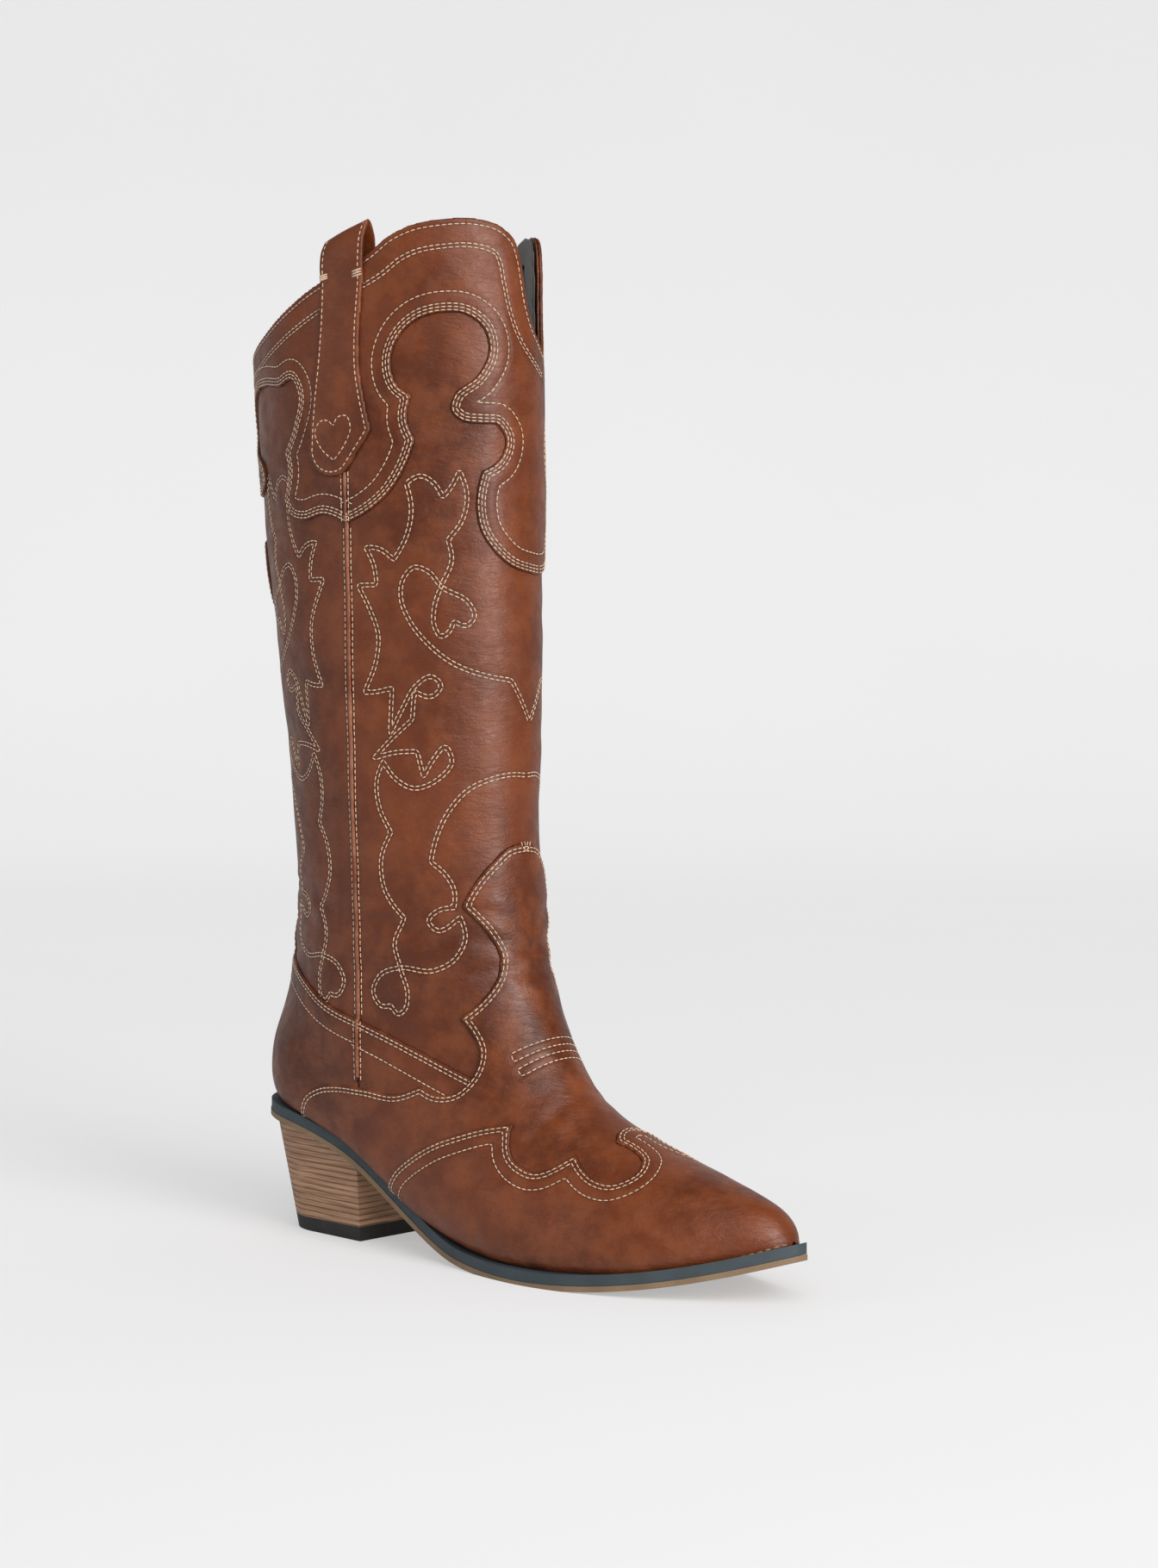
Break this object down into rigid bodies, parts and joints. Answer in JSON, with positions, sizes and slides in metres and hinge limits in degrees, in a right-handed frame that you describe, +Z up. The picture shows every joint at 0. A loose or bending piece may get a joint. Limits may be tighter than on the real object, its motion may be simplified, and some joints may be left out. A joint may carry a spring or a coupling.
{
  "type": "western boot",
  "caption": "Tall western boot for the right foot: scalloped stitched overlays, pull straps, inside zip, welted sole and a stacked underslung heel.",
  "frame": {"origin": "on the floor, under the middle of the heel seat", "axes": "+Z up the shaft, +X towards the toe, -Y towards the outer (lateral) side"},
  "size_m": [0.2916, 0.101, 0.424],
  "materials": {
    "leather_upper": "semi-gloss, lightly mottled cognac",
    "leather_foot": "semi-gloss cognac",
    "leather_vamp": "semi-gloss, burnished cognac",
    "leather_collar": "semi-gloss, raised and edge-stitched cognac",
    "leather_piping": "semi-gloss",
    "leather_strap": "semi-gloss, edge-stitched",
    "lining": "matt charcoal",
    "stiffener": "stiffened canvas",
    "leatherboard": "matt fibre board",
    "heel_stack": "stacked leather board, waxed edge",
    "cork": "matt cork",
    "steel": "plain",
    "outsole_rubber": "matt tan",
    "top_piece_rubber": "matt black",
    "welt": "matt slate, stitched",
    "zip_tape": "woven",
    "zip_coil": "nylon",
    "zip_metal": "antique brown"
  },
  "bodies": {
    "boot": {"bottom_filler": "cork", "collar_facing": "leather_strap", "collar_overlay_back": "leather_collar", "collar_overlay_front": "leather_collar", "counter_cover": "leather_vamp", "counter_stiffener": "stiffener", "foot_interlining": "leather_foot", "heel_grip": "lining", "heel_lift_1": "heel_stack", "heel_lift_2": "heel_stack", "heel_lift_3": "heel_stack", "heel_lift_4": "heel_stack", "heel_lift_5": "heel_stack", "heel_lift_6": "heel_stack", "heel_lift_7": "heel_stack", "heel_lift_8": "heel_stack", "heel_nails": "steel", "heel_screw": "steel", "heel_top_piece": "top_piece_rubber", "insole_board": "leatherboard", "outsole": "outsole_rubber", "piping_lateral": "leather_piping", "piping_medial": "leather_piping", "pull_strap_lateral": "leather_strap", "pull_strap_medial": "leather_strap", "shaft_back": "leather_upper", "shaft_front": "leather_upper", "shaft_lining": "lining", "shank": "steel", "sock_lining": "lining", "toe_overlay": "leather_vamp", "toe_puff": "stiffener", "top_piece_tacks": "steel", "vamp": "leather_vamp", "vamp_lining": "lining", "wedge_lateral": "leather_vamp", "wedge_medial": "leather_vamp", "welt": "welt", "zip_coil_back": "zip_coil", "zip_coil_front": "zip_coil", "zip_foot_stop": "zip_metal", "zip_guard": "lining", "zip_tape_back": "zip_tape", "zip_tape_front": "zip_tape", "zip_top_stops": "zip_metal"},
    "slider": {"zip_slider": "zip_metal", "zip_pull_pin": "zip_metal"},
    "pull": {"zip_pull": "zip_metal"}
  },
  "joints": [
    {"name": "zip_slide", "type": "slide", "parent": "boot", "child": "slider", "axis": [0, -0.0371, -0.9993], "range_m": [0, 0.144]},
    {"name": "zip_pull_swing", "type": "hinge", "parent": "slider", "child": "pull", "pos_m": [0.038, 0.04518, 0.23081], "axis": [1, 0, 0], "range_deg": [0, 160]}
  ]
}
